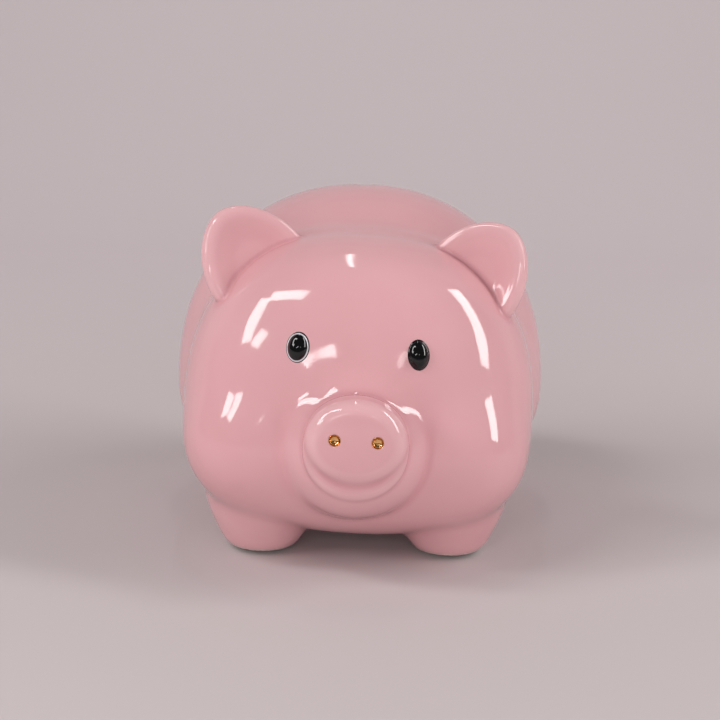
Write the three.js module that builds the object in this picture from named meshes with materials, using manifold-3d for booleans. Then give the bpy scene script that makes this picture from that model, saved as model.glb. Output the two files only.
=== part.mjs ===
// Figural animal coin bank: a slip-cast, pink-glazed ceramic pig, about 190 mm long.
// Millimetres, +Z up. The pig looks along -Y and stands on the plane z = 0.
//
// The rounded forms are one smooth distance field: each lump (body, head, cheeks, muzzle, snout,
// lip, legs) is a small function that is negative inside, and blend() joins two of them with a
// fillet. wrap() then stretches a sphere over the field, which gives a closed mesh.
import * as THREE from 'three';
import { mergeVertices } from 'three/addons/utils/BufferGeometryUtils.js';
import Module from 'manifold-3d';

const wasm = await Module();
wasm.setup();

// ---------------------------------------------------------------- driving dimensions
const WALL = 4; // cast wall of the shell
const GAP = 0.3; // clearance between pieces that touch

const BODY = { centre: [0, 28, 54], radii: [77, 64, 81.5], down: 45, power: 2.15 };
const HEAD = { centre: [0, -25, 53], radii: [69.5, 51, 72], down: 47, power: 2.35 };
const NECK_BLEND = 17;
const HEAD_TILT = THREE.MathUtils.degToRad(2.2); // the head leans a little to one side
const TILT_HEIGHT = 55; // height of the axis it leans about

const CHEEK = { centre: [36, -50, 45.5], radii: [29, 25, 27], blend: 15 };
const EYE_SOCKET = { centre: [24, -92, 92], radii: [15, 16, 15], blend: 8 };
const MUZZLE = { centre: [0, -61, 51], radii: [31, 31, 29.5] };
// The muzzle's fillet is wide over the nose's bridge and close beside the cheeks.
const MUZZLE_BLEND = { top: 14, left: 5, right: 2.5, across: [-12, 12], rise: [54, 82] };
const LIP = { centre: [0, -83, 54], radii: [19.5, 18.5], half: 7.5, round: 4.5, dome: 0, blend: 2 };
const SNOUT = { centre: [0, -87, 59.3], radii: [18.8, 16], half: 9, round: 5, dome: 1.5, blend: 4 };

const LEG = { radius: 13.8, slope: 0.48, top: 30, topRound: 24, footRound: 9 };
const FRONT_LEG = [37, -37];
const REAR_LEG = [37, 50];

// The ear is a thick, shallow petal. Its root runs from inner to outer, and tip is its far end.
const EAR = {
  inner: [28, -22, 120], outer: [56, -39.5, 100], tip: [60.6, -29.8, 129],
  root: 14, cup: 1.5, setBack: 0.6, thickness: 8, hollow: 1.2, edge: 0.7, power: 1.8,
  hollowRim: [0.4, 0.85],
};
const EAR_OUTLINE = {
  left: { shift: 0.7, width: 21.6, height: 27, forward: 0, lean: 0 },
  right: { shift: 0.5, width: 20.8, height: 25.4, forward: 1, lean: 0.14 },
};

const EYE = { side: 22.6, height: 88.5, shift: -1.3, halfHeight: 5.95, proud: 2.5, sunk: 1.6 };
const EYE_HALF_WIDTH = { left: 4.55, right: 4.3 };
const NOSTRIL = { side: 7.9, height: 60.8, radius: 2.4, depth: 1.9, lining: 0.5, cutAbove: 3 };

const TAIL = {
  radius: 2.8, coil: 8.5, endCoil: 4, height: 79, turns: 1.2,
  sink: 3.5, rise: 2.83, liftOff: 0.35,
};

const SLOT = { length: 30, width: 5.4, centreY: 48, depth: 40 };
const HOLE_RADIUS = 14.5;
const HOLE_Y = 28;
const HOLE_TOP = 30; // inside the chamber, above its floor
const SEAT = { radius: 19.4, z: 10.6 }; // flat seat round the hole, for the stopper's flange
const STOPPER = {
  flange: 18.6, thickness: 2.3, rimBevel: 0.6,
  plug: 14.1, bore: 11.6, height: 9, endBevel: [0.8, 1],
  knob: 5, groove: 11.5, grooveDepth: 1,
};
const PAD = { radius: 7.4, thickness: 1.2, bevel: 0.4 };

const ROUND_SEGMENTS = 32; // facets round the hole, its seat and the stopper
const NOSTRIL_SEGMENTS = 16;
const NOSTRIL_STEPS = 4;
const PAD_SEGMENTS = 20;
const SKIN_FACETS = [50, 42]; // round the pig's length, and along it
const LINING_FACETS = [26, 22];
const LEG_FACETS = [22, 13];
const EAR_FACETS = [34, 10];
const EYE_FACETS = [18, 12];
const SLOT_END_SEGMENTS = 6;
const TAIL_STEPS = 30;
const TAIL_SEGMENTS = 5;

const PINK = 0xe0a3a8;
const BLACK = 0x0c0b0c;
const GOLD = 0xd9a441;
const RUBBER = 0xd8d4ca;
const FELT = 0xb9b4ae;

// ---------------------------------------------------------------- distance field
const smoothstep = (low, high, x) => {
  const t = THREE.MathUtils.clamp((x - low) / (high - low), 0, 1);
  return t * t * (3 - 2 * t);
};

/** Smaller of two distances, with a fillet of size k where they are close. */
const blend = (a, b, k) => {
  const h = Math.max(k - Math.abs(a - b), 0) / k;
  return Math.min(a, b) - (h * h * h * k) / 6;
};

/** Larger of two distances, with the same fillet: b cuts a. */
const carve = (a, b, k) => -blend(-a, -b, k);

const ellipsoid = ([x, y, z], { centre, radii }) => {
  const q = [x - centre[0], y - centre[1], z - centre[2]];
  const size = Math.hypot(...q.map((v, i) => v / radii[i]));
  const slope = Math.hypot(...q.map((v, i) => v / radii[i] ** 2)) + 1e-9;
  return (size * (size - 1)) / slope;
};

/** Superellipsoid whose lower half has a height of its own. */
const egg = ([x, y, z], { centre, radii, down, power }) => {
  const crossover = 30;
  const q = [x - centre[0], y - centre[1], z - centre[2]];
  const height = down + (radii[2] - down) * smoothstep(-crossover, crossover, q[2]);
  const r = [radii[0], radii[1], height];
  const a = q.map((v, i) => Math.abs(v / r[i]) + 1e-6);
  const size = a.reduce((sum, v) => sum + v ** power, 0) ** (1 / power);
  const slope = Math.hypot(...a.map((v, i) => v ** (power - 1) / r[i])) * size ** (1 - power);
  return (size - 1) / slope;
};

/** Oval disc across Y with a rounded edge and a slightly domed face. */
const disc = ([x, y, z], { centre, radii, half, round, dome }) => {
  const px = x - centre[0];
  const pz = z - centre[2];
  const size = Math.hypot(px / radii[0], pz / radii[1]);
  const slope = Math.hypot(px / radii[0] ** 2, pz / radii[1] ** 2) + 1e-9;
  const edge = ((size - 1) * size) / slope + round;
  const face = Math.abs(y - centre[1]) - half + round + dome * size ** 2;
  const outside = Math.hypot(Math.max(edge, 0), Math.max(face, 0));
  return Math.min(Math.max(edge, face), 0) + outside - round;
};

/** Stubby cone round the Z axis that widens upwards into the body. */
const leg = ([x, y, z]) => {
  const radius = Math.hypot(x, y);
  const side = (radius - LEG.radius - LEG.slope * z) * Math.cos(Math.atan(LEG.slope));
  return carve(carve(side, -z, LEG.footRound), z - LEG.top, LEG.topRound);
};

/** A point seen from the tilted head's own frame. */
const inHead = ([x, y, z]) => {
  const c = Math.cos(HEAD_TILT);
  const s = Math.sin(HEAD_TILT);
  return [c * x - s * (z - TILT_HEIGHT), y, s * x + c * (z - TILT_HEIGHT) + TILT_HEIGHT];
};

const fromHead = ([x, y, z]) => {
  const c = Math.cos(HEAD_TILT);
  const s = Math.sin(HEAD_TILT);
  return [c * x + s * (z - TILT_HEIGHT), y, -s * x + c * (z - TILT_HEIGHT) + TILT_HEIGHT];
};

const mirrored = ([x, y, z]) => [Math.abs(x), y, z];

/** Fillet round the muzzle at a point of the head. */
const muzzleBlend = ([x, , z]) => {
  const turn = smoothstep(...MUZZLE_BLEND.across, x);
  const side = THREE.MathUtils.lerp(MUZZLE_BLEND.left, MUZZLE_BLEND.right, turn);
  return THREE.MathUtils.lerp(side, MUZZLE_BLEND.top, smoothstep(...MUZZLE_BLEND.rise, z));
};

/** Body, head and face, without the legs. */
const trunkField = (p) => {
  const headPoint = inHead(p);
  const side = mirrored(headPoint);
  let d = blend(egg(p, BODY), egg(headPoint, HEAD), NECK_BLEND);
  d = blend(d, ellipsoid(side, CHEEK), CHEEK.blend);
  d = carve(d, -ellipsoid(side, EYE_SOCKET), EYE_SOCKET.blend);
  d = blend(d, ellipsoid(headPoint, MUZZLE), muzzleBlend(headPoint));
  d = blend(d, disc(headPoint, LIP), LIP.blend);
  return blend(d, disc(headPoint, SNOUT), SNOUT.blend);
};

// The ear's own axes, in the head's frame: along the root, up to the tip, and out of the cup.
const vector = (a) => new THREE.Vector3(...a);
const EAR_ORIGIN = vector(EAR.inner).add(vector(EAR.outer)).multiplyScalar(0.5);
const EAR_ALONG = vector(EAR.outer).sub(vector(EAR.inner)).normalize();
const EAR_UP = vector(EAR.tip).sub(EAR_ORIGIN);
EAR_UP.addScaledVector(EAR_ALONG, -EAR_UP.dot(EAR_ALONG)).normalize();
const EAR_FRONT = EAR_ALONG.clone().cross(EAR_UP);

// ---------------------------------------------------------------- mesh helpers
/** Distance from start, along direction, to the outermost place where the field is zero. */
const reach = (field, start, direction, longest) => {
  const at = (t) => field(start.map((v, i) => v + direction[i] * t));
  const shortStep = 0.4;
  const caution = 0.3; // the field is close to a true distance, so a step can follow its value
  const halvings = 16;
  let outside = longest;
  let inside = longest;
  while (inside > 0 && at(inside) > 0) {
    outside = inside;
    inside -= Math.max(shortStep, caution * at(inside));
  }
  for (let i = 0; i < halvings; i += 1) {
    const middle = (inside + outside) / 2;
    if (at(middle) > 0) outside = middle;
    else inside = middle;
  }
  return (inside + outside) / 2;
};

const merged = (geometry) => {
  const copy = geometry.clone();
  copy.deleteAttribute('normal');
  copy.deleteAttribute('uv');
  return mergeVertices(copy, 1e-4);
};

/** Stretches a unit sphere from centre until it lies where the field equals offset. */
const wrap = (field, sphere, centre, longest, offset = 0) => {
  const geometry = merged(sphere);
  const position = geometry.getAttribute('position');
  for (let i = 0; i < position.count; i += 1) {
    const d = vector([position.getX(i), position.getY(i), position.getZ(i)]).normalize().toArray();
    const t = reach((p) => field(p) - offset, centre, d, longest);
    position.setXYZ(i, centre[0] + d[0] * t, centre[1] + d[1] * t, centre[2] + d[2] * t);
  }
  return geometry;
};

/** Polar angles from -Y of rings spaced along the field's level outline, closer at the snout. */
const snoutRings = (field, centre, longest, count) => {
  const crowding = 1.35;
  const samples = 720;
  const places = [];
  for (let i = 0; i <= samples; i += 1) {
    const angle = (i / samples) * Math.PI;
    const d = [Math.sin(angle), -Math.cos(angle), 0];
    const t = reach(field, centre, d, longest);
    const previous = places[i - 1] ?? { x: d[0] * t, y: d[1] * t, length: 0 };
    const length = previous.length + Math.hypot(d[0] * t - previous.x, d[1] * t - previous.y);
    places.push({ angle, x: d[0] * t, y: d[1] * t, length });
  }
  const total = places[samples].length;
  return Array.from({ length: count + 1 }, (_, ring) => {
    const wanted = (ring / count) ** crowding * total;
    return places.find((place) => place.length >= wanted - 1e-6).angle;
  });
};

/** Unit sphere whose poles lie along Y, with its rings at the given polar angles from -Y. */
const ringedSphere = (around, angles) => {
  const rings = angles.length - 1;
  const sphere = new THREE.SphereGeometry(1, around, rings);
  const position = sphere.getAttribute('position');
  for (let i = 0; i < position.count; i += 1) {
    const polar = Math.acos(THREE.MathUtils.clamp(position.getY(i), -1, 1));
    const moved = angles[Math.round((polar / Math.PI) * rings)];
    const turn = Math.atan2(position.getZ(i), position.getX(i));
    const across = Math.sin(moved);
    position.setXYZ(i, across * Math.cos(turn), Math.cos(moved), across * Math.sin(turn));
  }
  return sphere.rotateX(Math.PI);
};

const solid = (geometry) => {
  const g = merged(geometry);
  return new wasm.Manifold(new wasm.Mesh({
    numProp: 3,
    vertProperties: new Float32Array(g.getAttribute('position').array),
    triVerts: new Uint32Array(g.index.array),
  }));
};

const toGeometry = (manifold) => {
  const mesh = manifold.getMesh();
  const geometry = new THREE.BufferGeometry();
  geometry.setAttribute('position', new THREE.BufferAttribute(mesh.vertProperties, 3));
  geometry.setIndex(new THREE.BufferAttribute(mesh.triVerts, 1));
  geometry.computeVertexNormals();
  return geometry;
};

const lathe = (points, segments) => {
  const outline = points.map(([r, h]) => new THREE.Vector2(r, h));
  return new THREE.LatheGeometry(outline, segments).rotateX(Math.PI / 2); // the axis becomes +Z
};

const upright = (radius, low, high, segments) => {
  const cylinder = new THREE.CylinderGeometry(radius, radius, high - low, segments);
  return cylinder.rotateX(Math.PI / 2).translate(0, 0, (low + high) / 2);
};

const glazed = (color) => new THREE.MeshStandardMaterial({ color, roughness: 0.08, metalness: 0 });
const matt = (color) => new THREE.MeshStandardMaterial({ color, roughness: 0.7, metalness: 0 });
const gilt = () => new THREE.MeshStandardMaterial({ color: GOLD, roughness: 0.15, metalness: 1 });

const piece = (name, geometry, material) => {
  const mesh = new THREE.Mesh(geometry, material);
  mesh.name = name;
  return mesh;
};

const SIDES = { left: -1, right: 1 }; // left and right as seen from in front of the pig

// ---------------------------------------------------------------- body shell
const CENTRE = [0, 0, 58]; // every part of the trunk can be seen from here
const FAR = 150;
const LEG_REACH = 60;
const SKIN = ringedSphere(SKIN_FACETS[0], snoutRings(trunkField, CENTRE, FAR, SKIN_FACETS[1]));
const LINING = ringedSphere(LINING_FACETS[0], snoutRings(trunkField, CENTRE, FAR, LINING_FACETS[1]));

const trunk = (offset) => solid(wrap(trunkField, SKIN, CENTRE, FAR, offset));

const makeLeg = ([x, y]) => {
  const middle = 14;
  const ball = new THREE.SphereGeometry(1, ...LEG_FACETS).rotateX(Math.PI / 2);
  return solid(wrap(leg, ball, [0, 0, middle], LEG_REACH).translate(x, y, 0));
};

const coinSlot = () => {
  const half = SLOT.length / 2 - SLOT.width / 2;
  const radius = SLOT.width / 2;
  const shape = new THREE.Shape();
  shape.absarc(0, half, radius, 0, Math.PI, false);
  shape.absarc(0, -half, radius, Math.PI, 2 * Math.PI, false);
  const cut = new THREE.ExtrudeGeometry(shape, {
    depth: SLOT.depth, bevelEnabled: false, curveSegments: SLOT_END_SEGMENTS,
  });
  return solid(cut.translate(0, SLOT.centreY, BODY.centre[2] + BODY.radii[2] - SLOT.depth / 2));
};

/** Place on the snout's face in the middle of a nostril, and the frame that looks out of it. */
const nostrilFrame = (side) => {
  const x = side * NOSTRIL.side;
  const along = (p) => trunkField(fromHead(p));
  const out = reach(along, [x, 0, NOSTRIL.height], [0, -1, 0], FAR);
  return new THREE.Matrix4().makeRotationY(HEAD_TILT)
    .setPosition(...fromHead([x, -out, NOSTRIL.height]));
};

/** Outline of a round-bottomed cup, from its bottom to its rim at height 0. */
const cupProfile = (radius, depth) => {
  const points = [];
  for (let i = 0; i <= NOSTRIL_STEPS; i += 1) {
    const a = (i / NOSTRIL_STEPS) * (Math.PI / 2);
    points.push([radius * Math.sin(a), -depth * Math.cos(a)]);
  }
  return points;
};

const facingFront = (geometry, side) => geometry.rotateX(Math.PI / 2).applyMatrix4(nostrilFrame(side));

const nostrilPit = (side) => {
  const margin = NOSTRIL.lining + GAP;
  const profile = cupProfile(NOSTRIL.radius + margin, NOSTRIL.depth + margin);
  profile.push([NOSTRIL.radius + margin, NOSTRIL.cutAbove], [0, NOSTRIL.cutAbove]);
  return solid(facingFront(lathe(profile, NOSTRIL_SEGMENTS), side));
};

const makeBodyShell = () => {
  let shell = trunk(0);
  Object.values(SIDES).forEach((side) => {
    [FRONT_LEG, REAR_LEG].forEach(([x, y]) => { shell = shell.add(makeLeg([side * x, y])); });
  });
  shell = shell.subtract(solid(wrap(trunkField, LINING, CENTRE, FAR, -WALL)));
  shell = shell.subtract(coinSlot());
  const below = 2;
  const hole = upright(HOLE_RADIUS, below, HOLE_TOP, ROUND_SEGMENTS);
  shell = shell.subtract(solid(hole.translate(0, HOLE_Y, 0)));
  const seat = upright(SEAT.radius, below, SEAT.z, ROUND_SEGMENTS);
  shell = shell.subtract(solid(seat.translate(0, HOLE_Y, 0)));
  const footLevel = PAD.thickness + GAP;
  const slab = { side: 220, height: 10 };
  const under = new THREE.BoxGeometry(slab.side, slab.side, slab.height);
  shell = shell.subtract(solid(under.translate(0, 0, footLevel - slab.height / 2)));
  Object.values(SIDES).forEach((side) => { shell = shell.subtract(nostrilPit(side)); });
  return piece('body_shell', toGeometry(shell), glazed(PINK));
};

// ---------------------------------------------------------------- ears, eyes, nostrils, tail
/** Turns a unit sphere into the petal: its equator is the ear's rim, and its +Y side the hollow. */
const makeEar = (word, side, skin) => {
  const own = EAR_OUTLINE[word];
  const geometry = merged(new THREE.SphereGeometry(1, ...EAR_FACETS));
  const position = geometry.getAttribute('position');
  const point = new THREE.Vector3();
  for (let i = 0; i < position.count; i += 1) {
    const round = [-side * position.getX(i), position.getZ(i)];
    const size = Math.hypot(...round);
    const squared = round.reduce((sum, v) => sum + Math.abs(v) ** EAR.power, 1e-9) ** (1 / EAR.power);
    const [along, up] = round.map((v) => (v * size) / squared);
    const facing = Math.sign(position.getY(i));
    const half = facing * Math.abs(position.getY(i)) ** EAR.edge * (EAR.thickness / 2);
    const hollow = facing > 0 ? EAR.hollow * (1 - smoothstep(...EAR.hollowRim, size)) : 0;
    const rise = up * (up > 0 ? own.height : EAR.root);
    const middle = EAR.cup * size ** 2 - EAR.setBack + own.forward + own.lean * rise;
    point.copy(EAR_ORIGIN)
      .addScaledVector(EAR_ALONG, along * own.width + own.shift)
      .addScaledVector(EAR_UP, rise)
      .addScaledVector(EAR_FRONT, middle + half - hollow);
    position.setXYZ(i, ...fromHead([side * point.x, point.y, point.z]));
  }
  return piece(`ear_${word}`, toGeometry(solid(geometry).subtract(skin)), glazed(PINK));
};

const makeEye = (word, side, skin) => {
  const x = EYE.shift + side * EYE.side;
  const out = reach((p) => trunkField(fromHead(p)), [x, 0, EYE.height], [0, -1, 0], FAR);
  const [px, py, pz] = fromHead([x, -out, EYE.height]);
  const nudge = 0.5; // half the step over which the face's slope is measured
  const slope = new THREE.Vector3(
    trunkField([px + nudge, py, pz]) - trunkField([px - nudge, py, pz]),
    trunkField([px, py + nudge, pz]) - trunkField([px, py - nudge, pz]),
    trunkField([px, py, pz + nudge]) - trunkField([px, py, pz - nudge]),
  ).normalize();
  const dome = new THREE.SphereGeometry(1, ...EYE_FACETS)
    .scale(EYE_HALF_WIDTH[word], EYE.proud + EYE.sunk, EYE.halfHeight)
    .translate(0, EYE.sunk, 0)
    .applyQuaternion(new THREE.Quaternion().setFromUnitVectors(vector([0, -1, 0]), slope))
    .translate(px, py, pz);
  return piece(`eye_${word}`, toGeometry(solid(dome).subtract(skin)), glazed(BLACK));
};

const makeNostril = (name, side) => {
  const outer = cupProfile(NOSTRIL.radius + NOSTRIL.lining, NOSTRIL.depth + NOSTRIL.lining);
  const inner = cupProfile(NOSTRIL.radius, NOSTRIL.depth).reverse();
  return piece(name, facingFront(lathe([...outer, ...inner], NOSTRIL_SEGMENTS), side), gilt());
};

/** The tail's curl: a flat spiral that leaves the rump and lies against it. */
class TailCurve extends THREE.Curve {
  getPoint(t, target = new THREE.Vector3()) {
    const angle = -Math.PI / 2 + t * TAIL.turns * 2 * Math.PI;
    const coil = TAIL.coil + (TAIL.endCoil - TAIL.coil) * t;
    const x = coil * Math.cos(angle);
    const z = TAIL.height + coil * Math.sin(angle);
    const rump = reach(trunkField, [x, 0, z], [0, 1, 0], FAR);
    const lift = -TAIL.sink + (TAIL.sink + TAIL.rise) * smoothstep(0, TAIL.liftOff, t);
    return target.set(x, rump + lift, z);
  }
}

const makeTail = (skin) => {
  const section = new THREE.Shape().absarc(0, 0, TAIL.radius, 0, 2 * Math.PI, false);
  const tube = new THREE.ExtrudeGeometry(section, {
    steps: TAIL_STEPS, curveSegments: TAIL_SEGMENTS, bevelEnabled: false, extrudePath: new TailCurve(),
  });
  return piece('tail', toGeometry(solid(tube).subtract(skin)), glazed(PINK));
};

// ---------------------------------------------------------------- stopper and foot pads
const makeStopper = () => {
  const { flange, rimBevel, plug, bore, knob, groove } = STOPPER;
  const [endInset, endLength] = STOPPER.endBevel;
  const top = SEAT.z - GAP;
  const low = top - STOPPER.thickness;
  const grooved = low + STOPPER.grooveDepth;
  const end = top + STOPPER.height;
  const profile = [
    [0, low], [knob, low], [knob, grooved], [groove, grooved], [groove, low],
    [flange - rimBevel, low], [flange, low + rimBevel], [flange, top],
    [plug, top], [plug, end - endLength], [plug - endInset, end], [bore, end],
    [bore, top], [0, top],
  ];
  return piece('stopper', lathe(profile, ROUND_SEGMENTS).translate(0, HOLE_Y, 0), matt(RUBBER));
};

const makePad = (name, x, y) => {
  const profile = [
    [0, 0], [PAD.radius, 0], [PAD.radius, PAD.thickness - PAD.bevel],
    [PAD.radius - PAD.bevel, PAD.thickness], [0, PAD.thickness],
  ];
  return piece(name, lathe(profile, PAD_SEGMENTS).translate(x, y, 0), matt(FELT));
};

// ---------------------------------------------------------------- the whole bank
const bank = new THREE.Group();
const clearSkin = trunk(GAP);
bank.add(makeBodyShell(), makeTail(clearSkin), makeStopper());
Object.entries(SIDES).forEach(([word, side]) => {
  bank.add(makeEar(word, side, clearSkin));
  bank.add(makeEye(word, side, clearSkin));
  bank.add(makeNostril(`nostril_${word}`, side));
  bank.add(makePad(`foot_pad_front_${word}`, side * FRONT_LEG[0], FRONT_LEG[1]));
  bank.add(makePad(`foot_pad_rear_${word}`, side * REAR_LEG[0], REAR_LEG[1]));
});

export default bank;
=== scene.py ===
"""Looks of the ceramic pig bank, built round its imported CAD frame.

The skin, ears, tail, eyes and nostril cups are surfaces of one smooth distance field, the same
forms and sizes as the CAD solids, meshed finely here. Fields work in millimetres, and objects
are made in metres.
"""
import math

import bmesh
import bpy
import numpy as np
from mathutils import Matrix, Vector


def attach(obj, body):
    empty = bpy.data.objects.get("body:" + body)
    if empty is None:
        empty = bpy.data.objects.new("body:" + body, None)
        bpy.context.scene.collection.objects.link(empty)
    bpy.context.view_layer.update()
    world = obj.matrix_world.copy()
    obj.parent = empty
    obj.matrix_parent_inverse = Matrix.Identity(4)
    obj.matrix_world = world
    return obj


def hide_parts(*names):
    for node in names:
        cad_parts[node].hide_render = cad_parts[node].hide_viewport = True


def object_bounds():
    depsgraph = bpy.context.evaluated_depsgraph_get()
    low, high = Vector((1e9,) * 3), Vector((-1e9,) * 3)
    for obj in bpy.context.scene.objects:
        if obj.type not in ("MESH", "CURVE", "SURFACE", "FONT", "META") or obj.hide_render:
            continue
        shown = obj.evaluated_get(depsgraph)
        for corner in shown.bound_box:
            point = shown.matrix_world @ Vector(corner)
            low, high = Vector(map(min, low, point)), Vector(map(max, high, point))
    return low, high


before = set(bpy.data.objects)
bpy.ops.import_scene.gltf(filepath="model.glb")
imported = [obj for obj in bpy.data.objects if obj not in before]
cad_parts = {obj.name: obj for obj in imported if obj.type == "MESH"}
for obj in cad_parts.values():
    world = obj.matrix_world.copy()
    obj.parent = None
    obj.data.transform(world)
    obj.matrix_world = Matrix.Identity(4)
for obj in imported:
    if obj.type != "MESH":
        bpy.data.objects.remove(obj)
CAD_LOW, CAD_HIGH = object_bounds()
MM = 0.001

# ------------------------------------------------------------ sizes, in millimetres
WALL = 4.0

BODY = dict(centre=(0, 28, 54), radii=(77, 64, 81.5), down=45, power=2.15)
HEAD = dict(centre=(0, -25, 53), radii=(69.5, 51, 72), down=47, power=2.35)
NECK_BLEND = 17
HEAD_TILT = math.radians(2.2)
TILT_HEIGHT = 55

CHEEK = dict(centre=(36, -50, 45.5), radii=(29, 25, 27))
CHEEK_BLEND = 15
SOCKET = dict(centre=(24, -92, 92), radii=(15, 16, 15))
SOCKET_BLEND = 8
MUZZLE = dict(centre=(0, -61, 51), radii=(31, 31, 29.5))
MUZZLE_BLEND = dict(top=14, left=5, right=2.5, across=(-12, 12), rise=(54, 82))
LIP = dict(centre=(0, -83, 54), radii=(19.5, 18.5), half=7.5, rounding=4.5, dome=0)
LIP_BLEND = 2
SNOUT = dict(centre=(0, -87, 59.3), radii=(18.8, 16), half=9, rounding=5, dome=1.5)
SNOUT_BLEND = 4

LEG = dict(radius=13.8, slope=0.48, top=30, top_round=24, foot_round=9)
LEG_BLEND = 5
LEG_PLACES = ((37, -37), (37, 50))
FOOT_LEVEL = 1.5

EAR_INNER = np.array((28, -22, 120.0))
EAR_OUTER = np.array((56, -39.5, 100.0))
EAR_TIP = np.array((60.6, -29.8, 129.0))
EAR = dict(root=14, cup=1.5, cup_end=1.3, set_back=0.6, thickness=8.0, rounding=7.0, power=1.8)
EAR_HOLLOW = dict(depth=1.2, rim=(0.4, 0.85))
EAR_OUTLINE = {
    -1: dict(shift=0.7, width=21.6, height=27.0, forward=0, lean=0),
    1: dict(shift=0.5, width=20.8, height=25.4, forward=1.0, lean=0.14),
}
EAR_FILLET = 1.6

EYE = dict(side=22.6, height=88.5, shift=-1.3, dome=(3.75, 5.35), proud=2.5)
EYE_OUTLINE = {-1: (4.5, 5.85), 1: (4.2, 5.85)}
# How much painted reflection ring each eye carries: a pale ring in the black enamel, on the left eye only.
PAINTED_EYE_GLINT_AMOUNT = {-1: 1.0, 1: 0.0}
NOSTRIL = dict(side=7.9, height=60.8, radius=2.05, depth=1.5, lining=0.2, cut_above=3)
TAIL = dict(radius=2.8, coil=8.5, end_coil=4, height=79, turns=1.2, sink=3.5, rise=2.83)
TAIL_LIFT_OFF = 0.35
TAIL_TAPER = dict(start=0.45, share=0.22)
TAIL_FILLET = 3.0

SLOT = dict(length=30, width=5.4, centre=48, lip=1.7, bottom=100)
HOLE_RADIUS = 14.5
HOLE_Y = 28
HOLE_TOP = 30
SEAT_RADIUS = 19.4
SEAT_LEVEL = 10.6
EDGE_ROUNDING = dict(nostril=0.5, chamber=0.6, hole=0.8, seat=0.8, foot=0.8)
SIDES = {"left": -1, "right": 1}


# ------------------------------------------------------------ distance field
def smoothstep(low, high, x):
    t = np.clip((x - low) / (high - low), 0, 1)
    return t * t * (3 - 2 * t)


def blend(a, b, k):
    """Smaller of two distances, with a fillet of size k."""
    h = np.maximum(k - np.abs(a - b), 0) / k
    return np.minimum(a, b) - h * h * h * (k / 6)


def carve(a, b, k):
    """Larger of two distances, with a fillet of size k: b cuts a."""
    return -blend(-a, -b, k)


def ellipsoid(p, centre, radii):
    q = [(p[i] - centre[i]) / radii[i] for i in range(3)]
    size = np.sqrt(q[0] ** 2 + q[1] ** 2 + q[2] ** 2)
    slope = np.sqrt(sum((q[i] / radii[i]) ** 2 for i in range(3))) + 1e-9
    return size * (size - 1) / slope


def egg(p, centre, radii, down, power):
    """Superellipsoid whose lower half has a height of its own."""
    crossover = 30
    z = p[2] - centre[2]
    height = down + (radii[2] - down) * smoothstep(-crossover, crossover, z)
    a = np.abs((p[0] - centre[0]) / radii[0]) + 1e-6
    b = np.abs((p[1] - centre[1]) / radii[1]) + 1e-6
    c = np.abs(z / height) + 1e-6
    pa, pb, pc = a ** power, b ** power, c ** power
    size = (pa + pb + pc) ** (1 / power)
    slope = np.sqrt((pa / a / radii[0]) ** 2 + (pb / b / radii[1]) ** 2 + (pc / c / height) ** 2)
    return (size - 1) / (slope * size ** (1 - power))


def disc(p, centre, radii, half, rounding, dome):
    """Oval disc across Y with a rounded edge and a slightly domed face."""
    x = (p[0] - centre[0]) / radii[0]
    z = (p[2] - centre[2]) / radii[1]
    size = np.hypot(x, z)
    slope = np.hypot(x / radii[0], z / radii[1]) + 1e-9
    edge = (size - 1) * size / slope + rounding
    face = np.abs(p[1] - centre[1]) - half + rounding + dome * size ** 2
    outside = np.hypot(np.maximum(edge, 0), np.maximum(face, 0))
    return np.minimum(np.maximum(edge, face), 0) + outside - rounding


def leg(p, place, radius, slope, top, top_round, foot_round):
    around = np.hypot(np.abs(p[0]) - place[0], p[1] - place[1])
    side = (around - radius - slope * p[2]) * math.cos(math.atan(slope))
    return carve(carve(side, -p[2], foot_round), p[2] - top, top_round)


def in_head(p):
    """The same points seen from the tilted head's own frame."""
    c, s = math.cos(HEAD_TILT), math.sin(HEAD_TILT)
    z = p[2] - TILT_HEIGHT
    return (c * p[0] - s * z, p[1], s * p[0] + c * z + TILT_HEIGHT)


def from_head(p):
    c, s = math.cos(HEAD_TILT), math.sin(HEAD_TILT)
    z = p[2] - TILT_HEIGHT
    return (c * p[0] + s * z, p[1], -s * p[0] + c * z + TILT_HEIGHT)


def muzzle_blend(h):
    """Fillet round the muzzle: wide over the nose's bridge, close beside the cheeks."""
    left, right = MUZZLE_BLEND["left"], MUZZLE_BLEND["right"]
    side = left + (right - left) * smoothstep(*MUZZLE_BLEND["across"], h[0])
    return side + (MUZZLE_BLEND["top"] - side) * smoothstep(*MUZZLE_BLEND["rise"], h[2])


def trunk(p):
    """Body, head and face, without the legs."""
    h = in_head(p)
    m = (np.abs(h[0]), h[1], h[2])
    d = blend(egg(p, **BODY), egg(h, **HEAD), NECK_BLEND)
    d = blend(d, ellipsoid(m, **CHEEK), CHEEK_BLEND)
    d = carve(d, -ellipsoid(m, **SOCKET), SOCKET_BLEND)
    d = blend(d, ellipsoid(h, **MUZZLE), muzzle_blend(h))
    d = blend(d, disc(h, **LIP), LIP_BLEND)
    return blend(d, disc(h, **SNOUT), SNOUT_BLEND)


def skin(p):
    """The trunk with its legs: the whole outside, without ears or tail."""
    d = trunk(p)
    for place in LEG_PLACES:
        d = blend(d, leg(p, place, **LEG), LEG_BLEND)
    return d


def gradient(field, p, step=0.02):
    slopes = []
    for i in range(3):
        ahead, behind = list(p), list(p)
        ahead[i] = p[i] + step
        behind[i] = p[i] - step
        slopes.append((field(ahead) - field(behind)) / (2 * step))
    return slopes


def surface_along(field, start, direction, low, high):
    """Distance along direction at which the field crosses zero, between low and high."""
    halvings = 40
    for _ in range(halvings):
        middle = (low + high) / 2
        inside = field([start[i] + direction[i] * middle for i in range(3)]) < 0
        low = np.where(inside, middle, low)
        high = np.where(inside, high, middle)
    return (low + high) / 2


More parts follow.
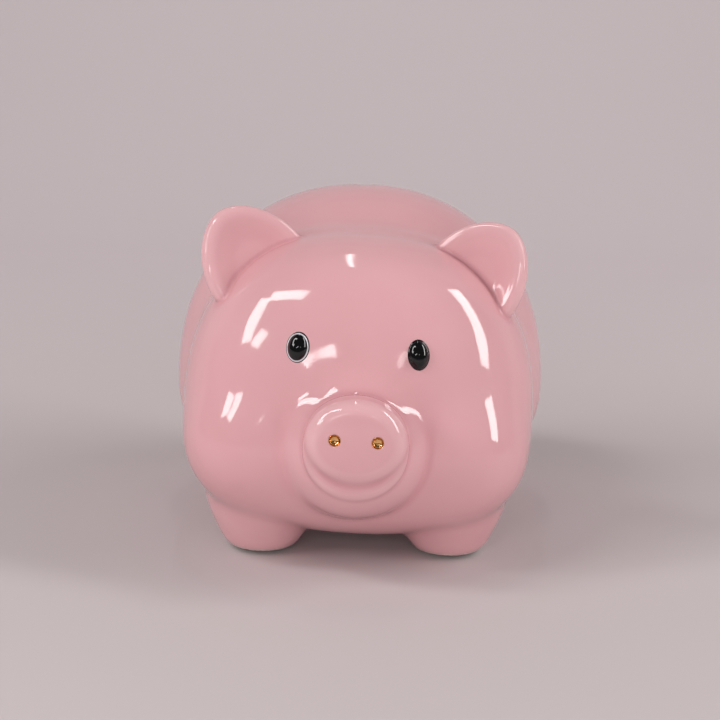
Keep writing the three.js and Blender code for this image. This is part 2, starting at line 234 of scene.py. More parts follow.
def place_on_face(x, height):
    """Point on the face at x and height in the head's frame, and the outward normal there."""
    x, height = np.array([float(x)]), np.array([float(height)])
    near, far = 20.0, 130.0
    out = surface_along(lambda q: trunk(from_head(q)), (x, 0 * x, height), (0, -1, 0), near, far)
    point = from_head((x, -out, height))
    step = 0.5
    normal = np.array([float(g[0]) for g in gradient(trunk, point, step)])
    return np.array([float(v[0]) for v in point]), normal / np.linalg.norm(normal)


# ------------------------------------------------------------ surface of a field
def surface_net(field, low, high, cell):
    """Closed surface where the field is zero, as vertices and quads (naive surface nets)."""
    low, high = np.array(low, float), np.array(high, float)
    count = np.ceil((high - low) / cell).astype(int) + 1
    lines = [low[i] + cell * np.arange(count[i]) for i in range(3)]
    values = np.empty(count)
    layers = 8
    for first in range(0, count[0], layers):
        part = np.meshgrid(lines[0][first:first + layers], lines[1], lines[2], indexing="ij")
        values[first:first + layers] = field(part)
    cells = count - 1
    points, keys, faces = [], [], []
    for axis in range(3):
        u, v = (axis + 1) % 3, (axis + 2) % 3
        near = np.take(values, range(count[axis] - 1), axis)
        far = np.take(values, range(1, count[axis]), axis)
        where = np.argwhere((near < 0) != (far < 0))
        a = near[tuple(where.T)]
        b = far[tuple(where.T)]
        crossing = where.astype(float)
        crossing[:, axis] += a / (a - b)
        corners = []
        for du, dv in ((-1, -1), (0, -1), (0, 0), (-1, 0)):
            cell_at = where.copy()
            cell_at[:, u] += du
            cell_at[:, v] += dv
            corners.append((cell_at[:, 0] * cells[1] + cell_at[:, 1]) * cells[2] + cell_at[:, 2])
            points.append(crossing)
            keys.append(corners[-1])
        quad = np.stack(corners, 1)
        faces.append(np.where((a < 0)[:, None], quad, quad[:, ::-1]))
    keys, points, faces = np.concatenate(keys), np.concatenate(points), np.concatenate(faces)
    used, which = np.unique(keys, return_inverse=True)
    hits = np.bincount(which)
    mean = np.stack([np.bincount(which, points[:, i]) / hits for i in range(3)], 1)
    return low + cell * mean, np.searchsorted(used, faces)


def settle(field, vertices, rounds=3):
    """Moves the vertices onto the surface along the field's gradient."""
    p = [vertices[:, i].copy() for i in range(3)]
    longest = 0.8
    for _ in range(rounds):
        value = field(p)
        slope = gradient(field, p)
        size = slope[0] ** 2 + slope[1] ** 2 + slope[2] ** 2 + 1e-9
        step = np.clip(value / np.sqrt(size), -longest, longest) / np.sqrt(size)
        p = [p[i] - slope[i] * step for i in range(3)]
    return np.stack(p, 1)


def split_quads(vertices, quads):
    """Two triangles from each quad, across its shorter diagonal."""
    a, b, c, d = (vertices[quads[:, i]] for i in range(4))
    short = np.linalg.norm(a - c, axis=1) < np.linalg.norm(b - d, axis=1)
    first = np.where(short[:, None], quads[:, [0, 1, 2]], quads[:, [0, 1, 3]])
    second = np.where(short[:, None], quads[:, [0, 2, 3]], quads[:, [1, 2, 3]])
    return np.concatenate([first, second])


def refine(vertices, triangles, size_at):
    """Halves every edge longer than size_at says there, and splits the triangles to match."""
    ends = triangles[:, [[0, 1], [1, 2], [2, 0]]].reshape(-1, 2)
    ends.sort(axis=1)
    keys, which = np.unique(ends[:, 0] * len(vertices) + ends[:, 1], return_inverse=True)
    a, b = vertices[keys // len(vertices)], vertices[keys % len(vertices)]
    middle = (a + b) / 2
    long = np.linalg.norm(a - b, axis=1) > size_at(middle)
    number = np.full(len(keys), -1)
    number[long] = len(vertices) + np.arange(long.sum())
    halves = number[which].reshape(-1, 3)
    split = (halves >= 0).sum(1)
    turn = np.where(split == 1, np.argmax(halves >= 0, 1), (np.argmin(halves >= 0, 1) + 1) % 3)
    order = (turn[:, None] + np.arange(3)) % 3
    t = np.take_along_axis(triangles, order, 1)
    m = np.take_along_axis(halves, order, 1)
    both = np.concatenate([t, m], 1)
    patterns = {
        0: ((0, 1, 2),),
        1: ((0, 3, 2), (3, 1, 2)),
        2: ((3, 1, 4), (0, 3, 4), (0, 4, 2)),
        3: ((0, 3, 5), (3, 1, 4), (4, 2, 5), (3, 4, 5)),
    }
    made = [both[split == n][:, corners] for n, parts in patterns.items() for corners in parts]
    return np.concatenate([vertices, middle[long]]), np.concatenate(made)


def fan_cycles(fan, swap):
    """Triangles round one vertex, as closed rings; fan gives each one's next and last corner."""
    leaving, arriving = {}, {}
    for t, (after, before) in sorted(fan.items()):
        leaving.setdefault(after, []).append(t)
        arriving.setdefault(before, []).append(t)
    following = {}
    for corner, triangles in arriving.items():
        targets = leaving[corner][::-1] if swap else leaving[corner]
        following.update(zip(triangles, targets))
    rings = []
    while following:
        t, ahead = following.popitem()
        ring = [t]
        while ahead in following:
            ring.append(ahead)
            ahead = following.pop(ahead)
        rings.append(ring)
    return rings


def unpinched(vertices, triangles):
    """The same surface with its pinched vertices doubled, so that two triangles meet at every edge."""
    for swap in (False, True):
        ends = np.sort(triangles[:, [[0, 1], [1, 2], [2, 0]]], axis=2)
        keys, uses = np.unique(ends[..., 0] * len(vertices) + ends[..., 1], return_counts=True)
        keys = keys[uses > 2]
        pinched = np.concatenate([keys // len(vertices), keys % len(vertices)])
        fans = {}
        for t, corner in np.argwhere(np.isin(triangles, pinched)).tolist():
            fan = fans.setdefault(int(triangles[t, corner]), {})
            fan[t] = int(triangles[t, (corner + 1) % 3]), int(triangles[t, (corner + 2) % 3])
        split, doubled = triangles.copy(), []
        for vertex, fan in fans.items():
            for ring in fan_cycles(fan, swap)[1:]:
                for t in ring:
                    split[t, triangles[t] == vertex] = len(vertices) + len(doubled)
                doubled.append(vertex)
        vertices = np.concatenate([vertices, vertices[np.array(doubled, int)]])
        triangles = split
    return vertices, triangles


def solid_of(field, low, high, cell, size_at=None, rounds=2):
    """Vertices, triangles and exact normals of the field's surface."""
    vertices, quads = surface_net(field, low, high, cell)
    vertices = settle(field, vertices)
    vertices, triangles = unpinched(vertices, split_quads(vertices, quads))
    for _ in range(rounds if size_at else 0):
        vertices, triangles = refine(vertices, triangles, size_at)
        vertices = settle(field, vertices, 2)
    normals = np.stack(gradient(field, [vertices[:, i] for i in range(3)]), 1)
    normals /= np.linalg.norm(normals, axis=1)[:, None] + 1e-12
    return vertices, triangles, normals


def make_piece(name, vertices, triangles, normals, attributes=None):
    """Mesh object in metres, kept inside the CAD box, with the given vertex normals."""
    inside = np.clip(vertices * MM, np.array(CAD_LOW), np.array(CAD_HIGH))
    mesh = bpy.data.meshes.new(name)
    mesh.from_pydata(inside.tolist(), [], triangles.tolist())
    mesh.polygons.foreach_set("use_smooth", np.ones(len(triangles), bool))
    mesh.normals_split_custom_set_from_vertices(normals.tolist())
    for label, values in (attributes or {}).items():
        attribute = mesh.attributes.new(label, "FLOAT", "POINT")
        attribute.data.foreach_set("value", values.astype(np.float32))
    obj = bpy.data.objects.new(name, mesh)
    bpy.context.scene.collection.objects.link(obj)
    return obj


def glaze_attributes(vertices):
    """How far the glaze pools in hollows (crease) and thins on rims (edge), from curvature."""
    reach, gain, least_rim = 2.5, 5, 0.06
    p = [vertices[:, i] for i in range(3)]

    def outside(q):
        return np.minimum(skin(q), np.minimum(ear(q, -1), ear(q, 1)))

    total = -6 * outside(p)
    for i in range(3):
        for sign in (-1, 1):
            q = list(p)
            q[i] = p[i] + sign * reach
            total += outside(q)
    bend = total / reach ** 2
    return {"crease": np.clip(-bend * gain, 0, 1), "edge": np.clip((bend - least_rim) * gain, 0, 1)}


# ------------------------------------------------------------ pieces of the ceramic
EAR_ORIGIN = (EAR_INNER + EAR_OUTER) / 2
EAR_ALONG = (EAR_OUTER - EAR_INNER) / np.linalg.norm(EAR_OUTER - EAR_INNER)
EAR_RISE = EAR_TIP - EAR_ORIGIN - EAR_ALONG * ((EAR_TIP - EAR_ORIGIN) @ EAR_ALONG)
EAR_UP = EAR_RISE / np.linalg.norm(EAR_RISE)
EAR_FRONT = np.cross(EAR_ALONG, EAR_UP)


def ear(p, side):
    """One ear: a thick, round-edged petal with a shallow hollow in its front."""
    h = in_head(p)
    own = EAR_OUTLINE[side]
    q = (side * h[0] - EAR_ORIGIN[0], h[1] - EAR_ORIGIN[1], h[2] - EAR_ORIGIN[2])
    along, up, front = (sum(q[i] * axis[i] for i in range(3)) for axis in (EAR_ALONG, EAR_UP, EAR_FRONT))
    along, front = along - own["shift"], front - own["forward"] - own["lean"] * up
    height = np.where(up > 0, own["height"], EAR["root"])
    power = EAR["power"]
    a, b = np.abs(along / own["width"]) + 1e-4, np.abs(up / height) + 1e-4
    size = (a ** power + b ** power) ** (1 / power)
    slope = np.hypot(a ** (power - 1) / own["width"], b ** (power - 1) / height) * size ** (1 - power)
    rim = (size - 1) / slope
    middle = EAR["cup"] * np.clip(size, 0, EAR["cup_end"]) ** 2 - EAR["set_back"]
    hollow = EAR_HOLLOW["depth"] * (1 - smoothstep(*EAR_HOLLOW["rim"], size)) / 2
    plate = np.abs(front - middle + hollow) - EAR["thickness"] / 2 + hollow
    caution = 0.85  # the field is a little steeper than a true distance
    return carve(rim, plate, EAR["rounding"]) * caution


def attached(p, part, fillet):
    """A part that grows out of the skin: its fillet dips under the skin and ends in the wall."""
    dip = 0.015
    root = 1.4
    base = skin(p)
    d = blend(base, part, fillet) + dip
    return np.maximum(np.maximum(d, part - fillet), -(base + root))


def slot_cut(p):
    past_end = np.maximum(np.abs(p[1] - SLOT["centre"]) - (SLOT["length"] - SLOT["width"]) / 2, 0)
    return np.maximum(np.hypot(p[0], past_end) - SLOT["width"] / 2, SLOT["bottom"] - p[2])


def belly_cut(p, radius, level):
    return np.maximum(np.hypot(p[0], p[1] - HOLE_Y) - radius, p[2] - level)


NOSTRIL_PLACES = {
    side: place_on_face(side * NOSTRIL["side"], NOSTRIL["height"]) for side in SIDES.values()
}


def bowl(p, side, margin):
    """Round-bottomed dimple in the snout's face."""
    point, normal = NOSTRIL_PLACES[side]
    q = [p[i] - point[i] for i in range(3)]
    out = sum(q[i] * normal[i] for i in range(3))
    across = np.sqrt(np.maximum(sum(v * v for v in q) - out ** 2, 0))
    radius = NOSTRIL["radius"] + margin
    depth = NOSTRIL["depth"] + margin
    size = np.sqrt((across / radius) ** 2 + (np.minimum(out, 0) / depth) ** 2 + 1e-9)
    slope = np.sqrt((across / radius ** 2) ** 2 + (np.minimum(out, 0) / depth ** 2) ** 2 + 1e-9)
    return np.maximum(size * (size - 1) / slope, out - NOSTRIL["cut_above"])


def shell(p):
    """The hollow cast body: skin outside, chamber, slot, belly hole, seat and nostril dimples."""
    inner = trunk(p) + WALL
    d = skin(p)
    for side in SIDES.values():
        d = carve(d, -bowl(p, side, NOSTRIL["lining"]), EDGE_ROUNDING["nostril"])
    d = carve(d, -inner, EDGE_ROUNDING["chamber"])
    d = carve(d, -slot_cut(p), SLOT["lip"])
    d = carve(d, -belly_cut(p, HOLE_RADIUS, HOLE_TOP), EDGE_ROUNDING["hole"])
    d = carve(d, -belly_cut(p, SEAT_RADIUS, SEAT_LEVEL), EDGE_ROUNDING["seat"])
    return carve(d, FOOT_LEVEL - p[2], EDGE_ROUNDING["foot"])


EDGE_LENGTH = dict(plain=2.6, face=1.5, snout=0.95, slot=0.8, hole=1.1, nostril=0.35)


def shell_size(p):
    """Longest edge wanted at each point of the shell."""
    x, y, z = p[:, 0], p[:, 1], p[:, 2]
    size = np.full(len(p), EDGE_LENGTH["plain"])
    outside = trunk([x, y, z]) > -1
    face = (y < -62) & (np.hypot(x / 42, (z - 62) / 40) < 1)
    size[face & outside] = EDGE_LENGTH["face"]
    snout = (y < -78) & (np.hypot(x, z - 52) < 27)
    size[snout] = EDGE_LENGTH["snout"]
    slot = (z > SLOT["bottom"]) & (np.abs(slot_cut([x, y, z])) < 2.2)
    size[slot] = EDGE_LENGTH["slot"]
    around = np.hypot(x, y - HOLE_Y)
    off_rim = np.minimum(np.abs(around - HOLE_RADIUS), np.abs(around - SEAT_RADIUS))
    size[(z < 17) & (off_rim < 1.5)] = EDGE_LENGTH["hole"]
    for point, _ in NOSTRIL_PLACES.values():
        near = np.linalg.norm(p - point, axis=1) < NOSTRIL["radius"] + 1.2
        size[near] = EDGE_LENGTH["nostril"]
    return size


def make_shell():
    low, high = (-80, -100, -1), (80, 96, 140)
    vertices, triangles, normals = solid_of(shell, low, high, 2.0, shell_size, rounds=3)
    attributes = glaze_attributes(vertices)
    inside = smoothstep(-1.6, -2.6, trunk([vertices[:, i] for i in range(3)]))
    foot_ring = smoothstep(2.6, 1.9, vertices[:, 2])
    attributes["bare"] = np.maximum(inside, foot_ring)
    return make_piece("body_shell_skin", vertices, triangles, normals, attributes)


def make_ear(word, side):
    across = sorted((side * 16, side * 72))
    low, high = (across[0], -62, 86), (across[1], -4, 140)
    vertices, triangles, normals = solid_of(
        lambda p: attached(p, ear(p, side), EAR_FILLET), low, high, 0.75)
    return make_piece(f"ear_{word}_cast", vertices, triangles, normals, glazed_all_over(vertices))


def glazed_all_over(vertices):
    return {**glaze_attributes(vertices), "bare": np.zeros(len(vertices))}


def tail_line():
    """The curl's centre line: a flat spiral that leaves the rump and lies against it."""
    points = 49
    t = np.linspace(0, 1, points)
    angle = -math.pi / 2 + t * TAIL["turns"] * 2 * math.pi
    coil = TAIL["coil"] + (TAIL["end_coil"] - TAIL["coil"]) * t
    x, z = coil * np.cos(angle), TAIL["height"] + coil * np.sin(angle)
    near, far = np.full(len(t), 40.0), np.full(len(t), 110.0)
    rump = surface_along(trunk, (x, 0 * x, z), (0, 1, 0), near, far)
    lift = -TAIL["sink"] + (TAIL["sink"] + TAIL["rise"]) * smoothstep(0, TAIL_LIFT_OFF, t)
    thickness = TAIL["radius"] * (1 - TAIL_TAPER["share"] * smoothstep(TAIL_TAPER["start"], 1, t))
    return np.stack([x, rump + lift, z], 1), thickness


TAIL_LINE, TAIL_THICKNESS = tail_line()


def tail(p):
    """Round cord along the curl, a little thinner towards its tip."""
    nearest = np.full(np.shape(p[0]), 1e3)
    for i in range(len(TAIL_LINE) - 1):
        start, step = TAIL_LINE[i], TAIL_LINE[i + 1] - TAIL_LINE[i]
        q = [p[k] - start[k] for k in range(3)]
        t = np.clip(sum(q[k] * step[k] for k in range(3)) / (step @ step), 0, 1)
        away = np.sqrt(sum((q[k] - t * step[k]) ** 2 for k in range(3)))
        radius = TAIL_THICKNESS[i] + (TAIL_THICKNESS[i + 1] - TAIL_THICKNESS[i]) * t
        nearest = np.minimum(nearest, away - radius)
    return nearest


def make_tail():
    low, high = (-15, 82, 62), (17, 99, 95)
    vertices, triangles, normals = solid_of(
        lambda p: attached(p, tail(p), TAIL_FILLET), low, high, 0.6)
    return make_piece("tail_curl", vertices, triangles, normals, glazed_all_over(vertices))


# ------------------------------------------------------------ eyes and nostrils
def facing(normal):
    """Axes of a face: across, up and out, for a piece set into it."""
    across = np.cross((0, 0, 1.0), normal) * -1
    across /= np.linalg.norm(across)
    return across, np.cross(normal, across) * -1, normal


def make_eye(word, side):
    """Glossy black dome with a concave fillet of enamel round it."""
    point, normal = place_on_face(EYE["shift"] + side * EYE["side"], EYE["height"])
    axes = facing(normal)
    outline = EYE_OUTLINE[side]
    sunk, film, root = 0.5, 0.06, 0.8
    fillet, outline_edge, root_edge = 1.3, 0.15, 0.3

    def dome(p):
        q = [sum((p[i] - point[i]) * axis[i] for i in range(3)) for axis in axes]
        bead = ellipsoid(q, (0, 0, -sunk), (*EYE["dome"], EYE["proud"] + sunk))
        base = trunk(p)
        d = blend(bead, base - film, fillet)
        size = np.hypot(q[0] / outline[0], q[1] / outline[1])
        d = carve(d, (size - 1) * min(outline), outline_edge)
        return carve(d, -(base + root), root_edge)

    reach = 8
    vertices, triangles, normals = solid_of(dome, point - reach, point + reach, 0.17)
    place = (vertices - point) @ np.stack(axes[:2], 1)
    # Painted reflection: the rim attribute marks a pale ring just inside the eye's outline, standing in
    # for a glint on the enamel's edge.
    ring_off_centre = (0.015, -0.02)
    size = np.hypot(*(place[:, i] / outline[i] - ring_off_centre[i] for i in range(2)))
    rim = smoothstep(0.82, 0.87, size) * smoothstep(0.95, 0.90, size) * PAINTED_EYE_GLINT_AMOUNT[side]
    return make_piece(f"eye_{word}_dome", vertices, triangles, normals, {"rim": rim})


def make_nostril(word, side):
    """Thin gilt cup that lines one dimple of the snout."""
    clearance, flush, rounding = 0.02, 0.03, 0.08

    def cup(p):
        outer = bowl(p, side, NOSTRIL["lining"] - clearance)
        d = carve(outer, -bowl(p, side, 0), rounding)
        return carve(d, trunk(p) + flush, rounding)

    point, _ = NOSTRIL_PLACES[side]
    reach = 3.6
    vertices, triangles, normals = solid_of(cup, point - reach, point + reach, 0.12)
    return make_piece(f"nostril_{word}_cup", vertices, triangles, normals)


# ------------------------------------------------------------ stopper and foot pads
STOPPER = dict(flange=18.55, thickness=2.3, plug=14.0, bore=11.6, height=9, knob=5, groove=11.5)
KNURLS = dict(count=60, depth=0.22)
GROOVE = dict(depth=1.0, rounding=0.5)
RIB = dict(radius=14.9, half=0.45, depth=0.35)
DIMPLE = dict(radius=4.6, below=3.2)
BEAD = dict(proud=0.25, from_end=2.2, width=0.8)
SLITS = dict(half=0.9, start=4)
STOPPER_TOP = 10.3
STOPPER_LOW = STOPPER_TOP - STOPPER["thickness"]
PAD = dict(radius=7.35, thickness=1.2, rounding=0.35, fuzz=0.12)


def rounded_disc(around, z, radius, low, high, rounding):
    return carve(around - radius, np.abs(z - (low + high) / 2) - (high - low) / 2, rounding)


def stopper(p):
    """Moulded plug: knurled flange with a grip ring, and a slit skirt with a bead."""
    x, y, z = p[0], p[1] - HOLE_Y, p[2]
    around, angle = np.hypot(x, y), np.arctan2(y, x)
    scallop = KNURLS["depth"] * (1 + np.cos(KNURLS["count"] * angle))
    d = rounded_disc(around + scallop, z, STOPPER["flange"], STOPPER_LOW, STOPPER_TOP, 1.1)
    groove = np.maximum(STOPPER["knob"] - around, around - STOPPER["groove"])
    d = carve(d, -np.maximum(groove, z - STOPPER_LOW - GROOVE["depth"]), GROOVE["rounding"])
    rib = np.abs(around - RIB["radius"]) - RIB["half"]
    d = carve(d, -np.maximum(rib, z - STOPPER_LOW - RIB["depth"]), RIB["depth"])
    dimple = np.sqrt(around ** 2 + (z - STOPPER_LOW + DIMPLE["below"]) ** 2) - DIMPLE["radius"]
    d = carve(d, -dimple, GROOVE["rounding"])
    top = STOPPER_TOP + STOPPER["height"]
    bead = BEAD["proud"] * np.exp(-((z - (top - BEAD["from_end"])) / BEAD["width"]) ** 2)
    skirt = rounded_disc(around - bead, z, STOPPER["plug"], STOPPER_LOW + 1.5, top, 1.0)
    skirt = carve(skirt, -np.maximum(around - STOPPER["bore"], STOPPER_TOP - z), 0.6)
    slit = np.minimum(np.abs(x), np.abs(y)) - SLITS["half"]
    skirt = carve(skirt, -np.maximum(slit, STOPPER_TOP + SLITS["start"] - z), 0.5)
    return blend(d, skirt, 0.8)


def make_stopper():
    low, high = (-20, HOLE_Y - 20, 6), (20, HOLE_Y + 20, 21)
    vertices, triangles, normals = solid_of(stopper, low, high, 0.5)
    return make_piece("stopper_plug", vertices, triangles, normals)


def make_pad(name, x, y):
    """Felt disc with a slightly ragged edge."""
    def felt(p):
        around, angle = np.hypot(p[0] - x, p[1] - y), np.arctan2(p[1] - y, p[0] - x)
        fuzz = 0.05 * np.sin(37 * angle + 3 * p[2]) + 0.04 * np.sin(61 * angle + x + y)
        fuzz += 0.03 * np.sin(113 * angle - 5 * p[2])
        ragged = around + fuzz + PAD["fuzz"]
        return rounded_disc(ragged, p[2], PAD["radius"], 0, PAD["thickness"], PAD["rounding"])

    reach = 9
    low, high = (x - reach, y - reach, -1), (x + reach, y + reach, 2.2)
    vertices, triangles, normals = solid_of(felt, low, high, 0.3)
    return make_piece(name, vertices, triangles, normals)


# ------------------------------------------------------------ materials
def new_material(name, **sockets):
    """Principled material; a socket's name is written with _ for its spaces."""
    made = bpy.data.materials.new(name)
    made.use_nodes = True
    shader = made.node_tree.nodes["Principled BSDF"]
    for socket, value in sockets.items():
        shader.inputs[socket.replace("_", " ")].default_value = value
    return made, shader


def add(made, kind, settings=None, **inputs):
    """New node of that kind; inputs are numbers, colours or other nodes' outputs."""
    node = made.node_tree.nodes.new("ShaderNode" + kind)
    for key, value in (settings or {}).items():
        setattr(node, key, value)
    for socket, value in inputs.items():
        target = node.inputs[socket.replace("_", " ")]
        if isinstance(value, bpy.types.NodeSocket):
            made.node_tree.links.new(value, target)
        else:
            target.default_value = value
    return node


def place_of(made):
    return add(made, "TexCoord").outputs["Object"]


def noise(made, place, scale, detail=2.0):
    return add(made, "TexNoise", Vector=place, Scale=scale, Detail=detail).outputs["Fac"]


def mixed(made, factor, first, second):
    node = add(made, "Mix", {"data_type": "RGBA"})
    for index, value in ((0, factor), (6, first), (7, second)):
        if isinstance(value, bpy.types.NodeSocket):
            made.node_tree.links.new(value, node.inputs[index])
        else:
            node.inputs[index].default_value = value
    return node.outputs[2]


def ranged(made, value, low, high, to_low, to_high):
    node = add(made, "MapRange", Value=value)
    for socket, number in (("From Min", low), ("From Max", high), ("To Min", to_low), ("To Max", to_high)):
        node.inputs[socket].default_value = number
    return node.outputs["Result"]


def product(made, first, second):
    node = add(made, "Math", {"operation": "MULTIPLY"})
    for index, value in enumerate((first, second)):
        if isinstance(value, bpy.types.NodeSocket):
            made.node_tree.links.new(value, node.inputs[index])
        else:
            node.inputs[index].default_value = value
    return node.outputs[0]


def bumped(made, height, distance, under=None, strength=1.0):
    inputs = {"Height": height, "Distance": distance, "Strength": strength}
    if under is not None:
        inputs["Normal"] = under
    return add(made, "Bump", **inputs).outputs["Normal"]


def connect(made, output, shader, socket):
    made.node_tree.links.new(output, shader.inputs[socket])


PINK = (0.69, 0.375, 0.40, 1)
PINK_CLOUD = (0.665, 0.35, 0.375, 1)
PINK_POOLED = (0.57, 0.24, 0.27, 1)
PINK_THIN = (0.77, 0.47, 0.49, 1)
BISQUE = (0.74, 0.70, 0.63, 1)
BISQUE_DUSTY = (0.62, 0.57, 0.50, 1)
BLACK = (0.002, 0.002, 0.0025, 1)
# Colour of the painted reflection ring on the left eye's enamel.
PAINTED_EYE_GLINT = (0.66, 0.64, 0.68, 1)
GOLD = (0.98, 0.58, 0.24, 1)
GOLD_DEEP = (0.88, 0.47, 0.18, 1)
RUBBER = (0.70, 0.67, 0.60, 1)
RUBBER_DUSTY = (0.60, 0.57, 0.50, 1)
FELT_DARK = (0.40, 0.37, 0.34, 1)
FELT_PALE = (0.58, 0.55, 0.52, 1)
POOLING = 0.45
THINNING = 0.45


def pink_glaze():
    """Glossy pink glaze, deeper in hollows and paler on rims, over matt off-white bisque."""
    made, shader = new_material("pink_glaze_over_bisque", IOR=1.5)
    place = place_of(made)
    crease = add(made, "Attribute", {"attribute_name": "crease"}).outputs["Fac"]
    edge = add(made, "Attribute", {"attribute_name": "edge"}).outputs["Fac"]
    bare = add(made, "Attribute", {"attribute_name": "bare"}).outputs["Fac"]
    cloud = ranged(made, noise(made, place, 22, 4), 0.35, 0.65, 0, 1)
    colour = mixed(made, cloud, PINK, PINK_CLOUD)
    colour = mixed(made, product(made, crease, POOLING), colour, PINK_POOLED)
    colour = mixed(made, product(made, edge, THINNING), colour, PINK_THIN)
    clay = mixed(made, ranged(made, noise(made, place, 160, 5), 0.4, 0.7, 0, 1), BISQUE, BISQUE_DUSTY)
    connect(made, mixed(made, bare, colour, clay), shader, "Base Color")
    sheen_spots = ranged(made, noise(made, place, 60, 3), 0.3, 0.7, 0.05, 0.085)
    rough = mixed(made, bare, sheen_spots, (0.78, 0.78, 0.78, 1))
    connect(made, rough, shader, "Roughness")
    normal = bumped(made, noise(made, place, 55, 1), 0.00022)
    normal = bumped(made, noise(made, place, 1100, 2), 0.000004, normal)
    grain = product(made, noise(made, place, 2600, 3), bare)
    normal = bumped(made, grain, 0.00008, normal)
    connect(made, normal, shader, "Normal")
    return made


def black_gloss():
    made, shader = new_material("black_gloss_enamel", IOR=1.5)
    place = place_of(made)
    rim = add(made, "Attribute", {"attribute_name": "rim"}).outputs["Fac"]
    # The rim attribute mixes in a painted reflection: a pale ring on the black enamel.
    connect(made, mixed(made, rim, BLACK, PAINTED_EYE_GLINT), shader, "Base Color")
    connect(made, ranged(made, noise(made, place, 700, 3), 0.3, 0.7, 0.02, 0.06), shader, "Roughness")
    connect(made, bumped(made, noise(made, place, 420, 1), 0.00001), shader, "Normal")
    return made


def gold_lustre():
    made, shader = new_material("gold_lustre", Metallic=1.0)
    place = place_of(made)
    patch = ranged(made, noise(made, place, 900, 3), 0.35, 0.65, 0, 1)
    connect(made, mixed(made, patch, GOLD, GOLD_DEEP), shader, "Base Color")
    connect(made, ranged(made, patch, 0, 1, 0.05, 0.10), shader, "Roughness")
    connect(made, bumped(made, noise(made, place, 2400, 2), 0.00002), shader, "Normal")
    return made


def soft_rubber():
    made, shader = new_material("stopper_soft_rubber", IOR=1.5)
    place = place_of(made)
    dust = ranged(made, noise(made, place, 130, 5), 0.45, 0.7, 0, 1)
    connect(made, mixed(made, dust, RUBBER, RUBBER_DUSTY), shader, "Base Color")
    connect(made, ranged(made, dust, 0, 1, 0.42, 0.62), shader, "Roughness")
    connect(made, bumped(made, noise(made, place, 3200, 2), 0.00003), shader, "Normal")
    return made


def pad_felt():
    made, shader = new_material("pad_wool_felt", Roughness=0.95, Sheen_Weight=0.35)
    place = place_of(made)
    stretched = add(made, "Mapping", Vector=place, Scale=(1, 2.6, 1)).outputs["Vector"]
    fibre = noise(made, stretched, 1500, 5)
    tangle = noise(made, place, 420, 4)
    streaks = ranged(made, fibre, 0.35, 0.65, 0, 1)
    connect(made, mixed(made, streaks, FELT_DARK, FELT_PALE), shader, "Base Color")
    normal = bumped(made, fibre, 0.00025)
    connect(made, bumped(made, tangle, 0.0003, normal), shader, "Normal")
    return made


# ------------------------------------------------------------ the bank's pieces on its bodies
def dress(obj, material, body, slot, *nodes):
    obj.data.materials.append(material)
    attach(obj, body)
    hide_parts(*nodes)


def build_bank():
    pink, black, gold = pink_glaze(), black_gloss(), gold_lustre()
    felt = pad_felt()
    dress(make_shell(), pink, "shell", "pink_glaze", "body_shell")
    dress(make_tail(), pink, "shell", "pink_glaze", "tail")
    for word, side in SIDES.items():
        dress(make_ear(word, side), pink, "shell", "pink_glaze", f"ear_{word}")
        dress(make_eye(word, side), black, "shell", "black_gloss", f"eye_{word}")
        dress(make_nostril(word, side), gold, "shell", "gold_lustre", f"nostril_{word}")
        for end, (x, y) in zip(("front", "rear"), LEG_PLACES):
            name = f"foot_pad_{end}_{word}"
            dress(make_pad(name + "_felt", side * x, y), felt, "shell", "felt", name)
    dress(make_stopper(), soft_rubber(), "stopper", "stopper_rubber", "stopper")


# ------------------------------------------------------------ floor, light and camera
# Floor colours: darker near the bank and paler further back, as painted light.
FLOOR_NEAR = (0.56, 0.505, 0.51, 1)
FLOOR_FAR = (0.83, 0.745, 0.765, 1)
SKY = (0.50, 0.455, 0.465, 1)
GLOW = dict(start=0.6, full=1.6, strength=0.65, reach=(1, 0.35, 0))  # of the floor, far aside
SKY_RADIUS = 12.0
DAYLIGHT = (0.97, 0.94, 0.96, 1)
DAYLIGHT_STRENGTH = 0.12
LAMP = (1, 0.985, 0.97)


